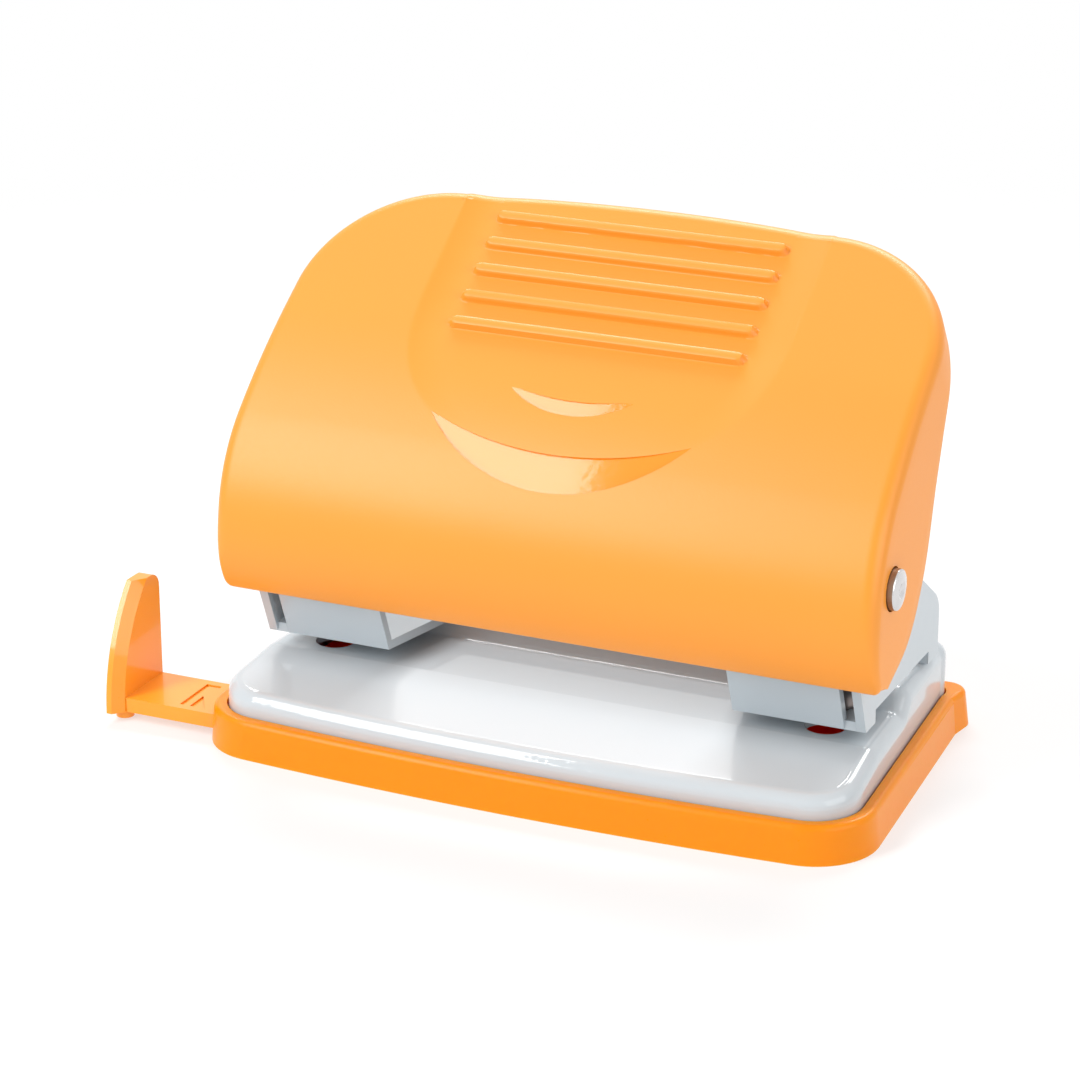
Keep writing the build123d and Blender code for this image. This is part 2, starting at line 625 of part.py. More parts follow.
# Handle lever: a folded plate under the cover with an ear on each side for axle and bar
lever_front = on_slope(LEVER_TOP_TO, LEVER_DEPTH)
lever_rear = on_slope(LEVER_TOP_FROM, LEVER_DEPTH)
screw_places = [(sign * SCREW_X, -row) for _, sign in SIDES for row in SCREW_ROWS]
with BuildPart() as handle_lever:
    with BuildSketch(LEVER_PLANE):
        with Locations((0, -(LEVER_TOP_FROM + LEVER_TOP_TO) / 2)):
            Rectangle(2 * LEVER_OUTER, LEVER_TOP_TO - LEVER_TOP_FROM)
        with Locations(screw_places):
            Circle(SCREW_DIAMETER / 2 + SCREW_FIT, mode=Mode.SUBTRACT)
    extrude(amount=-LEVER_SHEET)
    with BuildSketch(Plane.YZ.offset(LEVER_OUTER - LEVER_SHEET)):
        with BuildLine():
            Polyline(
                lever_rear,
                lever_front,
                (PIVOT_Y - LEVER_EAR / 2, PIVOT_Z + LEVER_EAR),
                (PIVOT_Y, PIVOT_Z - LEVER_EAR),
                (LEVER_BAR_EAR, BAR_Z),
                on_slope(LEVER_TOP_FROM, LEVER_DEPTH + LEVER_FLANGE),
                close=True,
            )
        make_face()
        with Locations((PIVOT_Y, PIVOT_Z)):
            Circle(LEVER_EAR)
            Circle(AXLE_DIAMETER / 2 + AXLE_FIT, mode=Mode.SUBTRACT)
        with Locations((0, BAR_Z)):
            Circle(LEVER_BAR_EAR)
            Circle(BAR_NECK / 2 + AXLE_FIT, mode=Mode.SUBTRACT)
    flange = extrude(amount=LEVER_SHEET)
    mirror(flange, about=Plane.YZ)
save(handle_lever.part, "handle_lever")

# Press bar: between the lever's ears, with a neck through each ear
bar_half = LEVER_OUTER - LEVER_SHEET - STACK_GAP
with BuildPart() as press_bar:
    with BuildSketch(Plane.YZ.offset(-bar_half)):
        with Locations((0, BAR_Z)):
            Circle(BAR_DIAMETER / 2)
    extrude(amount=2 * bar_half)
    with BuildSketch(Plane.YZ.offset(-LEVER_OUTER)):
        with Locations((0, BAR_Z)):
            Circle(BAR_NECK / 2)
    extrude(amount=2 * LEVER_OUTER)
save(press_bar.part, "press_bar")


def cover_profile(inset):
    """Section of the handle's sloping top and bulging front, moved inwards by the inset."""
    slope_way = (-SLOPE_COS, -SLOPE_SIN)
    flat_end = on_slope(COVER_FLAT)
    brow_arc = TangentArc(flat_end, COVER_BROW, tangent=slope_way, mode=Mode.PRIVATE)
    brow_way = brow_arc % 1
    bulge_arc = TangentArc(COVER_BROW, COVER_BULGE, tangent=brow_way, mode=Mode.PRIVATE)
    bulge_way = bulge_arc % 1
    hem_arc = TangentArc(COVER_BULGE, COVER_HEM, tangent=bulge_way, mode=Mode.PRIVATE)
    hem_way = hem_arc % 1

    def moved(point, way):
        return (point[0] - way.Y * inset, point[1] + way.X * inset)

    start = on_slope(0, inset)
    flat = on_slope(COVER_FLAT, inset)
    brow = moved(COVER_BROW, brow_way)
    bulge = moved(COVER_BULGE, bulge_way)
    hem = moved(COVER_HEM, hem_way)
    return start, flat, brow, bulge, hem, slope_way, brow_way, bulge_way, hem_way


def cover_form(inset, hollow):
    """The handle's outer block, or with hollow the space inside it, open at the back."""
    start, flat, brow, bulge, hem, slope_way, brow_way, bulge_way, hem_way = cover_profile(inset)
    half = COVER_HALF_WIDTH - inset
    top_half = COVER_TOP_HALF_WIDTH - inset
    with BuildPart() as form:
        with BuildSketch(Plane.YZ):
            with BuildLine():
                Line(start, flat)
                TangentArc(flat, brow, tangent=slope_way)
                TangentArc(brow, bulge, tangent=brow_way)
                TangentArc(bulge, hem, tangent=bulge_way)
                if hollow:
                    below = (hem[0] + hem_way.X * COVER_LIP, hem[1] + hem_way.Y * COVER_LIP)
                    Polyline(hem, below, (FAR, below[1]), (FAR, start[1]), start)
                else:
                    ThreePointArc(hem, COVER_SIDE_LOW, COVER_SIDE_MID)
                    Polyline(COVER_SIDE_MID, COVER_SIDE_HIGH, on_slope(0, COVER_LIP), start)
            make_face()
        extrude(amount=FAR, both=True)
        with BuildSketch(COVER_PLANE):
            with BuildLine():
                Polyline(
                    (-top_half, -inset),
                    (top_half, -inset),
                    (half, -COVER_LENGTH),
                    (-half, -COVER_LENGTH),
                    close=True,
                )
            make_face()
            fillet(vertices().group_by(Axis.Y)[-1], COVER_CORNER - inset)
        extrude(amount=FAR, both=True, mode=Mode.INTERSECT)
        if not hollow:
            with BuildSketch(Plane.XZ):
                with Locations((0, COVER_HEM[1])):
                    Rectangle(2 * COVER_HALF_WIDTH, FAR, align=(Align.CENTER, Align.MIN))
                fillet(vertices().group_by(Axis.Y)[0], COVER_BOTTOM_CORNER)
            extrude(amount=FAR, both=True, mode=Mode.INTERSECT)
            skin = form.faces().filter_by(faces_out)
            skin_edges = skin.edges()
            rim = [
                edge
                for edge in skin_edges
                if sum(edge.is_same(other) for other in skin_edges) == 1
                and edge.center().Z > COVER_HEM[1] + COVER_EDGE_ROUND
            ]
            fillet(rim, COVER_EDGE_ROUND)
    return form.part


def faces_out(face):
    """True for the sloping top and the rolled front of the handle."""
    way = face.normal_at()
    return abs(way.X) < UPRIGHT and way.Z * SLOPE_COS - way.Y * SLOPE_SIN > FACES_OUT


def crescent(half_length, upper_sag, lower_sag):
    """A crescent between two arcs, with its lowest point at the origin."""
    with BuildSketch() as shape:
        with BuildLine():
            tip_left = (-half_length, lower_sag)
            tip_right = (half_length, lower_sag)
            ThreePointArc(tip_left, (0, lower_sag - upper_sag), tip_right)
            ThreePointArc(tip_left, (0, 0), tip_right)
        make_face()
    return shape.sketch


# Handle cover: a moulded shell with a thumb recess, ribs, two crescent scoops and screw bosses
rib_rows = [RIB_FIRST + RIB_PITCH * index for index in range(RIB_COUNT)]
with BuildPart() as handle_cover:
    add(cover_form(0, False))
    add(cover_form(COVER_WALL, True), mode=Mode.SUBTRACT)
    with BuildSketch(LEVER_PLANE):
        with Locations(screw_places):
            Circle(BOSS_DIAMETER / 2)
    extrude(amount=LEVER_BELOW_COVER)
    with BuildSketch(LEVER_PLANE):
        with Locations(screw_places):
            Circle(SCREW_DIAMETER / 2 + SCREW_FIT)
    extrude(amount=SCREW_BITE + SCREW_FIT, mode=Mode.SUBTRACT)
    with BuildSketch(COVER_PLANE.offset(-RECESS_DEPTH)):
        with Locations((0, RECESS_CORNER)):
            Rectangle(
                2 * RECESS_HALF_WIDTH,
                RECESS_LENGTH + RECESS_CORNER,
                align=(Align.CENTER, Align.MAX),
            )
        fillet(vertices().group_by(Axis.Y)[0], RECESS_CORNER)
    extrude(amount=FAR, mode=Mode.SUBTRACT)
    with BuildSketch(COVER_PLANE.offset(-RECESS_DEPTH)):
        with Locations([(0, -row) for row in rib_rows]):
            SlotOverall(2 * RIB_HALF_LENGTH, RIB_WIDTH)
    extrude(amount=RIB_HEIGHT)
    for lowest, slope, half_length, upper_sag, lower_sag in (BIG_SCOOP, SMALL_SCOOP):
        tilt = math.radians(slope)
        scoop_plane = Plane(
            origin=(0, *lowest), x_dir=(1, 0, 0), z_dir=(0, -math.sin(tilt), math.cos(tilt))
        )
        with BuildSketch(scoop_plane):
            add(crescent(half_length, upper_sag, lower_sag))
        extrude(amount=FAR, mode=Mode.SUBTRACT)
    with BuildSketch(Plane.YZ.offset(-FAR)):
        with Locations((PIVOT_Y, PIVOT_Z)):
            Circle(AXLE_WINDOW / 2)
    extrude(amount=2 * FAR, mode=Mode.SUBTRACT)
save(handle_cover.part, "handle_cover")

# Cover screws: up through the lever into the bosses
with BuildPart() as cover_screws:
    with BuildSketch(LEVER_PLANE.offset(-LEVER_SHEET - SCREW_HEAD_HEIGHT)):
        with Locations(screw_places):
            Circle(SCREW_HEAD / 2)
    extrude(amount=SCREW_HEAD_HEIGHT)
    with BuildSketch(LEVER_PLANE.offset(-LEVER_SHEET)):
        with Locations(screw_places):
            Circle(SCREW_DIAMETER / 2)
    extrude(amount=LEVER_SHEET + SCREW_BITE)
save(cover_screws.part, "cover_screws")
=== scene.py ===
# %% [markdown]
# # A two-hole desk punch
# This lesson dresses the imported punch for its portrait. The steel and the plastic base come in as a
# fixed frame with the joints already right, so here we only choose the view, light it, mix the
# finishes and model the pieces that deserve a finer mesh: the soft orange cover, the ends of the
# axle and the two springs.

# %% Load the frame
import json
import math

import bmesh
import bpy
import numpy as np
from mathutils import Matrix, Vector


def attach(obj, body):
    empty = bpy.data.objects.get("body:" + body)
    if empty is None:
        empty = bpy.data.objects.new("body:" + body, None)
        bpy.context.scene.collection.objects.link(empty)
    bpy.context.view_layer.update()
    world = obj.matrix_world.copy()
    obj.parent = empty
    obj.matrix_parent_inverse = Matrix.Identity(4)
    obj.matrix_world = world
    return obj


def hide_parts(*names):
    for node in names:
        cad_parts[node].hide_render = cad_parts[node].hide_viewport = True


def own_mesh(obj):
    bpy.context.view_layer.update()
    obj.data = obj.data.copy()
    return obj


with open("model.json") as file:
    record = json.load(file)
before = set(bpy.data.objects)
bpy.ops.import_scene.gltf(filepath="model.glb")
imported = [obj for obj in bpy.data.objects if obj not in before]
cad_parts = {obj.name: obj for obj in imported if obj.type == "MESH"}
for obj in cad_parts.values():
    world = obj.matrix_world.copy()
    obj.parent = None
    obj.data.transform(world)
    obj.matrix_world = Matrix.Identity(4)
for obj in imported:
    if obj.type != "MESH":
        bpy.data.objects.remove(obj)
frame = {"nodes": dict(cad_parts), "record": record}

MM = 0.001
scene = bpy.context.scene
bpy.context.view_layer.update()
print("frame of", len(frame["nodes"]), "nodes")

# %% [markdown]
# ## Camera
# The view looks down on the punch from the front right. Two lines on the real object fix it: the
# row of the two holes and the long front edge of the tray. A long lens keeps them almost parallel.
# We build the rotation from the azimuth and the elevation, so the numbers stay readable.

# %% Camera
CAMERA_AZIMUTH = math.radians(24.3)
CAMERA_ELEVATION = math.radians(20.5)
CAMERA_PLACE = Vector((190.24, -433.5, 210.81)) * MM
CAMERA_LENS = 114.33
CAMERA_SENSOR = 36.0
CAMERA_NEAR = 10 * MM


def make_camera():
    right = Vector((math.cos(CAMERA_AZIMUTH), math.sin(CAMERA_AZIMUTH), 0))
    back = Vector((
        math.sin(CAMERA_AZIMUTH) * math.cos(CAMERA_ELEVATION),
        -math.cos(CAMERA_AZIMUTH) * math.cos(CAMERA_ELEVATION),
        math.sin(CAMERA_ELEVATION),
    ))
    up = back.cross(right)
    camera = bpy.data.objects.new("camera", bpy.data.cameras.new("camera"))
    scene.collection.objects.link(camera)
    turn = Matrix((right, up, back)).transposed().to_4x4()
    camera.matrix_world = Matrix.Translation(CAMERA_PLACE) @ turn
    camera.data.lens = CAMERA_LENS
    camera.data.sensor_width = CAMERA_SENSOR
    camera.data.clip_start = CAMERA_NEAR
    return camera


scene.camera = make_camera()
print("camera at", [round(v, 3) for v in scene.camera.location])

# %% [markdown]
# ## Studio
# Product shots like this stand on a white sweep under a big softbox. The floor here is a round
# pale sheet that fades out at its rim, so no horizon shows, and it keeps the soft shadow. The world
# is plain white to the eye and in reflections, and dimmer as a light, so that the colours stay as
# they are written. The softbox hangs over the user's left shoulder: its right-hand edge is what
# draws the sharp change of tone in the polished crescents. A weaker fill at the right opens up the
# side of the cover. A wide lamp behind shines in through the open back, which lights the heads from
# inside and lays a pale patch on the plate between them.

# %% World, floor and lamps
AMBIENT = 0.40
FLOOR_RADIUS = 0.9
FLOOR_SIDES = 96
FLOOR_FADE_FROM = 0.14
FLOOR_FADE_TO = 0.35
FLOOR_WHITE = (0.93, 0.93, 0.93, 1.0)
FLOOR_GLOW = 0.55
LAMPS = {
    "softbox": {
        "place": (-0.441, -0.57, 0.564), "face": (0, 1, -1),
        "width": 0.26, "depth": 0.87, "power": 7.4,
    },
    "fill": {
        "place": (0.75, -0.25, 0.35), "face": (-0.9, 0.28, -0.4),
        "width": 0.7, "depth": 0.6, "power": 2.9,
    },
    "rear lamp": {
        "place": (-0.2, 0.78, 0.85), "face": (0.2, -0.78, -0.83),
        "width": 1.0, "depth": 0.3, "power": 10.5,
    },
}

scene.view_settings.view_transform = "Standard"


def seen_white(nodes, links):
    """One wherever the eye, a reflection or a clear body looks, and zero for light itself."""
    path = nodes.new("ShaderNodeLightPath")
    glossy = nodes.new("ShaderNodeMath")
    glossy.operation = "ADD"
    seen = nodes.new("ShaderNodeMath")
    seen.operation = "ADD"
    seen.use_clamp = True
    links.new(path.outputs["Is Camera Ray"], glossy.inputs[0])
    links.new(path.outputs["Is Glossy Ray"], glossy.inputs[1])
    links.new(glossy.outputs[0], seen.inputs[0])
    links.new(path.outputs["Is Transmission Ray"], seen.inputs[1])
    return seen.outputs[0]


def make_world():
    world = bpy.data.worlds.new("white sweep")
    world.use_nodes = True
    nodes, links = world.node_tree.nodes, world.node_tree.links
    nodes.clear()
    light = nodes.new("ShaderNodeBackground")
    light.inputs["Strength"].default_value = AMBIENT
    light.inputs["Color"].default_value = (1, 1, 1, 1)
    white = nodes.new("ShaderNodeBackground")
    white.inputs["Color"].default_value = (1, 1, 1, 1)
    mix = nodes.new("ShaderNodeMixShader")
    out = nodes.new("ShaderNodeOutputWorld")
    links.new(seen_white(nodes, links), mix.inputs[0])
    links.new(light.outputs[0], mix.inputs[1])
    links.new(white.outputs[0], mix.inputs[2])
    links.new(mix.outputs[0], out.inputs["Surface"])
    scene.world = world


def make_floor():
    mesh = bpy.data.meshes.new("floor")
    sheet = bmesh.new()
    bmesh.ops.create_circle(sheet, cap_ends=True, segments=FLOOR_SIDES, radius=FLOOR_RADIUS)
    sheet.to_mesh(mesh)
    sheet.free()
    floor = bpy.data.objects.new("floor", mesh)
    scene.collection.objects.link(floor)
    paper = bpy.data.materials.new("floor paper")
    paper.use_nodes = True
    nodes, links = paper.node_tree.nodes, paper.node_tree.links
    nodes.clear()
    matte = nodes.new("ShaderNodeBsdfDiffuse")
    matte.inputs["Color"].default_value = FLOOR_WHITE
    glow = nodes.new("ShaderNodeEmission")
    glow.inputs["Color"].default_value = (1, 1, 1, 1)
    lit = nodes.new("ShaderNodeMixShader")
    lit.inputs[0].default_value = FLOOR_GLOW
    clear = nodes.new("ShaderNodeBsdfTransparent")
    place = nodes.new("ShaderNodeTexCoord")
    distance = nodes.new("ShaderNodeVectorMath")
    distance.operation = "LENGTH"
    fade = nodes.new("ShaderNodeMapRange")
    fade.interpolation_type = "SMOOTHSTEP"
    fade.inputs["From Min"].default_value = FLOOR_FADE_FROM
    fade.inputs["From Max"].default_value = FLOOR_FADE_TO
    mix = nodes.new("ShaderNodeMixShader")
    out = nodes.new("ShaderNodeOutputMaterial")
    links.new(place.outputs["Object"], distance.inputs[0])
    links.new(distance.outputs["Value"], fade.inputs["Value"])
    links.new(fade.outputs["Result"], mix.inputs[0])
    links.new(matte.outputs[0], lit.inputs[1])
    links.new(glow.outputs[0], lit.inputs[2])
    links.new(lit.outputs[0], mix.inputs[1])
    links.new(clear.outputs[0], mix.inputs[2])
    links.new(mix.outputs[0], out.inputs["Surface"])
    mesh.materials.append(paper)


def make_lamp(name, place, face, width, depth, power):
    """A rectangular lamp with level long edges, facing one way."""
    lamp = bpy.data.lights.new(name, "AREA")
    lamp.shape = "RECTANGLE"
    lamp.size = width
    lamp.size_y = depth
    lamp.energy = power
    box = bpy.data.objects.new(name, lamp)
    scene.collection.objects.link(box)
    behind = -Vector(face).normalized()
    level = Vector((0, 0, 1)).cross(behind).normalized()
    turn = Matrix((level, behind.cross(level), behind)).transposed().to_4x4()
    box.matrix_world = Matrix.Translation(Vector(place)) @ turn


make_world()
make_floor()
for lamp_name, lamp_values in LAMPS.items():
    make_lamp(lamp_name, **lamp_values)
print("studio: world", AMBIENT, "lamps in W", [values["power"] for values in LAMPS.values()])

# %% [markdown]
# ## Shared effects
# Four effects come back in several finishes, so each is built once as a node group: the faint grain
# and colour drift of moulded plastic, the orange-peel of stove enamel, the fine lines of drawn
# steel, and stray dust. A group only works out colours, values and heights. The shader itself stays
# in the material, where an exporter can read it.

# %% Node group helper
def new_group(name, inputs, outputs):
    group = bpy.data.node_groups.new(name, "ShaderNodeTree")
    for label, kind, value in inputs:
        socket = group.interface.new_socket(label, in_out="INPUT", socket_type=kind)
        socket.default_value = value
    for label, kind in outputs:
        group.interface.new_socket(label, in_out="OUTPUT", socket_type=kind)
    enter = group.nodes.new("NodeGroupInput")
    leave = group.nodes.new("NodeGroupOutput")
    return group, enter, leave


COLOUR, VALUE, VECTOR = "NodeSocketColor", "NodeSocketFloat", "NodeSocketVector"


def noise_of(group, vector, detail):
    noise = group.nodes.new("ShaderNodeTexNoise")
    noise.inputs["Detail"].default_value = detail
    group.links.new(vector, noise.inputs["Vector"])
    return noise


def spread(group, mask, middle, amount):
    """The middle value, moved up and down by the mask."""
    centred = group.nodes.new("ShaderNodeMath")
    centred.operation = "SUBTRACT"
    centred.inputs[1].default_value = 0.5
    moved = group.nodes.new("ShaderNodeMath")
    moved.operation = "MULTIPLY_ADD"
    group.links.new(mask, centred.inputs[0])
    group.links.new(centred.outputs[0], moved.inputs[0])
    group.links.new(amount, moved.inputs[1])
    if isinstance(middle, float):
        moved.inputs[2].default_value = middle
    else:
        group.links.new(middle, moved.inputs[2])
    return moved.outputs[0]


# %% Moulded skin, enamel, drawn steel and dust
DRIFT_SCALE = 38.0
DRIFT_DETAIL = 2.0
MOULDED_DETAIL = 3.0
ENAMEL_DETAIL = 1.0
ENAMEL_PEEL_SCALE = 420.0
STREAK_DETAIL = 4.0


def make_skin_group(name, fine_detail):
    """Colour drift over centimetres, and a fine texture that moves the gloss and the height."""
    group, enter, leave = new_group(
        name,
        [
            ("Colour", COLOUR, (1, 1, 1, 1)),
            ("Drift", VALUE, 0.06),
            ("Texture Scale", VALUE, 1500.0),
            ("Roughness", VALUE, 0.4),
            ("Roughness Spread", VALUE, 0.1),
        ],
        [("Colour", COLOUR), ("Roughness", VALUE), ("Height", VALUE)],
    )
    links = group.links
    place = group.nodes.new("ShaderNodeTexCoord").outputs["Object"]
    slow = noise_of(group, place, DRIFT_DETAIL)
    slow.inputs["Scale"].default_value = DRIFT_SCALE
    shade = group.nodes.new("ShaderNodeHueSaturation")
    links.new(spread(group, slow.outputs[0], 1.0, enter.outputs["Drift"]), shade.inputs["Value"])
    links.new(enter.outputs["Colour"], shade.inputs["Color"])
    fine = noise_of(group, place, fine_detail)
    links.new(enter.outputs["Texture Scale"], fine.inputs["Scale"])
    gloss = spread(
        group, fine.outputs[0], enter.outputs["Roughness"], enter.outputs["Roughness Spread"]
    )
    links.new(shade.outputs["Color"], leave.inputs["Colour"])
    links.new(gloss, leave.inputs["Roughness"])
    links.new(fine.outputs[0], leave.inputs["Height"])
    return group


def make_steel_group():
    """Streaks drawn out along one axis."""
    group, enter, leave = new_group(
        "drawn steel",
        [
            ("Colour", COLOUR, (1, 1, 1, 1)),
            ("Streaks", VECTOR, (1, 1, 1)),
            ("Drift", VALUE, 0.2),
            ("Roughness", VALUE, 0.3),
            ("Roughness Spread", VALUE, 0.15),
        ],
        [("Colour", COLOUR), ("Roughness", VALUE), ("Height", VALUE)],
    )
    links = group.links
    place = group.nodes.new("ShaderNodeTexCoord").outputs["Object"]
    stretch = group.nodes.new("ShaderNodeVectorMath")
    stretch.operation = "MULTIPLY"
    links.new(place, stretch.inputs[0])
    links.new(enter.outputs["Streaks"], stretch.inputs[1])
    streak = noise_of(group, stretch.outputs[0], STREAK_DETAIL)
    streak.inputs["Scale"].default_value = 1.0
    shade = group.nodes.new("ShaderNodeHueSaturation")
    links.new(spread(group, streak.outputs[0], 1.0, enter.outputs["Drift"]), shade.inputs["Value"])
    links.new(enter.outputs["Colour"], shade.inputs["Color"])
    gloss = spread(
        group, streak.outputs[0], enter.outputs["Roughness"], enter.outputs["Roughness Spread"]
    )
    links.new(shade.outputs["Color"], leave.inputs["Colour"])
    links.new(gloss, leave.inputs["Roughness"])
    links.new(streak.outputs[0], leave.inputs["Height"])
    return group


def make_dust_group():
    """A sprinkle of specks: small dots round scattered points, of which only a share is kept."""
    group, enter, leave = new_group(
        "dust specks",
        [
            ("Colour", COLOUR, (1, 1, 1, 1)),
            ("Speck Colour", COLOUR, (0.1, 0.1, 0.1, 1)),
            ("Scale", VALUE, 140.0),
            ("Size", VALUE, 0.06),
            ("Share", VALUE, 0.12),
        ],
        [("Colour", COLOUR)],
    )
    links = group.links
    place = group.nodes.new("ShaderNodeTexCoord").outputs["Object"]
    cells = group.nodes.new("ShaderNodeTexVoronoi")
    links.new(place, cells.inputs["Vector"])
    links.new(enter.outputs["Scale"], cells.inputs["Scale"])
    dot = group.nodes.new("ShaderNodeMath")
    dot.operation = "LESS_THAN"
    links.new(cells.outputs["Distance"], dot.inputs[0])
    links.new(enter.outputs["Size"], dot.inputs[1])
    part = group.nodes.new("ShaderNodeSeparateColor")
    links.new(cells.outputs["Color"], part.inputs[0])
    chosen = group.nodes.new("ShaderNodeMath")
    chosen.operation = "LESS_THAN"
    links.new(part.outputs[0], chosen.inputs[0])
    links.new(enter.outputs["Share"], chosen.inputs[1])
    mask = group.nodes.new("ShaderNodeMath")
    mask.operation = "MULTIPLY"
    links.new(dot.outputs[0], mask.inputs[0])
    links.new(chosen.outputs[0], mask.inputs[1])
    blend = group.nodes.new("ShaderNodeMix")
    blend.data_type = "RGBA"
    links.new(mask.outputs[0], blend.inputs["Factor"])
    links.new(enter.outputs["Colour"], blend.inputs[6])
    links.new(enter.outputs["Speck Colour"], blend.inputs[7])
    links.new(blend.outputs[2], leave.inputs["Colour"])
    return group


MOULDED_SKIN = make_skin_group("moulded skin", MOULDED_DETAIL)
STOVE_ENAMEL = make_skin_group("stove enamel", ENAMEL_DETAIL)
DRAWN_STEEL = make_steel_group()
DUST_SPECKS = make_dust_group()
print("groups:", [group.name for group in bpy.data.node_groups])

# %% [markdown]
# ## Finishes
# The cover is a satin moulding and its two crescents are polished in the mould. The tray and the
# guide are the same plastic with a shinier skin. Plate and frame wear a thick pale enamel, so they
# carry a clear coat. The small parts are bare or zinc-plated steel. One function lays out every
# finish: a group feeds colour, gloss and height into a shader whose fixed values are set on it.

# %% Finish helper
def finish(name, group, values, settings, bump, dust=None):
    """A material from one effect group, with fixed shader settings and perhaps some dust."""
    material = bpy.data.materials.new(name)
    material.use_nodes = True
    nodes, links = material.node_tree.nodes, material.node_tree.links
    shader = nodes["Principled BSDF"]
    effect = nodes.new("ShaderNodeGroup")
    effect.node_tree = group
    for label, value in values.items():
        effect.inputs[label].default_value = value
    for label, value in settings.items():
        shader.inputs[label].default_value = value
    colour = effect.outputs["Colour"]
    if dust:
        specks = nodes.new("ShaderNodeGroup")
        specks.node_tree = DUST_SPECKS
        for label, value in dust.items():
            specks.inputs[label].default_value = value
        links.new(colour, specks.inputs["Colour"])
        colour = specks.outputs["Colour"]
    relief = nodes.new("ShaderNodeBump")
    relief.inputs["Strength"].default_value = 1.0
    relief.inputs["Distance"].default_value = bump * MM
    links.new(effect.outputs["Height"], relief.inputs["Height"])
    links.new(relief.outputs["Normal"], shader.inputs["Normal"])
    links.new(colour, shader.inputs["Base Color"])
    links.new(effect.outputs["Roughness"], shader.inputs["Roughness"])
    return material


# %% Plastics
ORANGE_COVER = (0.92, 0.32, 0.022, 1)
ORANGE_TRAY = (0.88, 0.265, 0.003, 1)
ORANGE_GUIDE = (0.94, 0.33, 0.015, 1)

cover_satin = finish(
    "cover satin",
    MOULDED_SKIN,
    {"Colour": ORANGE_COVER, "Drift": 0.05, "Texture Scale": 2600.0, "Roughness": 0.42,
     "Roughness Spread": 0.08},
    {"Specular IOR Level": 0.62},
    0.012,
    {"Speck Colour": (0.5, 0.16, 0.04, 1), "Scale": 60.0, "Size": 0.035, "Share": 0.06},
)
cover_polish = finish(
    "cover polish",
    MOULDED_SKIN,
    {"Colour": ORANGE_COVER, "Drift": 0.04, "Texture Scale": 900.0, "Roughness": 0.05,
     "Roughness Spread": 0.03},
    {"Specular IOR Level": 0.36},
    0.004,
)
tray_gloss = finish(
    "tray gloss",
    MOULDED_SKIN,
    {"Colour": ORANGE_TRAY, "Drift": 0.05, "Texture Scale": 1400.0, "Roughness": 0.3,
     "Roughness Spread": 0.1},
    {"Specular IOR Level": 0.22, "Subsurface Weight": 0.4, "Subsurface Radius": (4.0, 1.3, 0.3),
     "Subsurface Scale": 1.0 * MM},
    0.01,
    {"Speck Colour": (0.35, 0.1, 0.02, 1), "Scale": 90.0, "Size": 0.04, "Share": 0.08},
)
guide_gloss = finish(
    "guide gloss",
    MOULDED_SKIN,
    {"Colour": ORANGE_GUIDE, "Drift": 0.05, "Texture Scale": 1600.0, "Roughness": 0.3,
     "Roughness Spread": 0.1},
    {"Specular IOR Level": 0.3, "Coat Weight": 0.35, "Coat Roughness": 0.06, "Coat IOR": 1.7},
    0.008,
)
print("plastics:", cover_satin.name, cover_polish.name, tray_gloss.name, guide_gloss.name, sep=", ")

# %% Paint
PAINT_PLATE = (0.56, 0.605, 0.635, 1)
PAINT_FRAME = (0.47, 0.53, 0.57, 1)

plate_enamel = finish(
    "plate enamel",
    STOVE_ENAMEL,
    {"Colour": PAINT_PLATE, "Drift": 0.03, "Texture Scale": ENAMEL_PEEL_SCALE, "Roughness": 0.25,
     "Roughness Spread": 0.05},
    {"Specular IOR Level": 0.08, "Coat Weight": 0.8, "Coat Roughness": 0.04, "Coat IOR": 1.5},
    0.006,
    {"Speck Colour": (0.09, 0.08, 0.09, 1), "Scale": 130.0, "Size": 0.05, "Share": 0.07},
)
frame_enamel = finish(
    "frame enamel",
    STOVE_ENAMEL,
    {"Colour": PAINT_FRAME, "Drift": 0.04, "Texture Scale": ENAMEL_PEEL_SCALE, "Roughness": 0.3,
     "Roughness Spread": 0.06},
    {"Coat Weight": 0.6, "Coat Roughness": 0.12, "Coat IOR": 1.5},
    0.006,
    {"Speck Colour": (0.12, 0.1, 0.1, 1), "Scale": 120.0, "Size": 0.04, "Share": 0.05},
)
print("paints:", plate_enamel.name, frame_enamel.name, sep=", ")

# %% Steels
ALONG_X = (150.0, 5200.0, 5200.0)
ALONG_Z = (5200.0, 5200.0, 150.0)
ROUND_Z = (900.0, 900.0, 5200.0)
ALL_WAYS = (1500.0, 1500.0, 1500.0)
STEEL_GLOSS_SPREAD = 0.5
STEEL_BUMP = 0.002


def steel(name, grey, streaks, roughness, drift=0.12):
    return finish(
        name,
        DRAWN_STEEL,
        {"Colour": grey, "Streaks": streaks, "Drift": drift, "Roughness": roughness,
         "Roughness Spread": STEEL_GLOSS_SPREAD * roughness},
        {"Metallic": 1.0},
        STEEL_BUMP,
    )


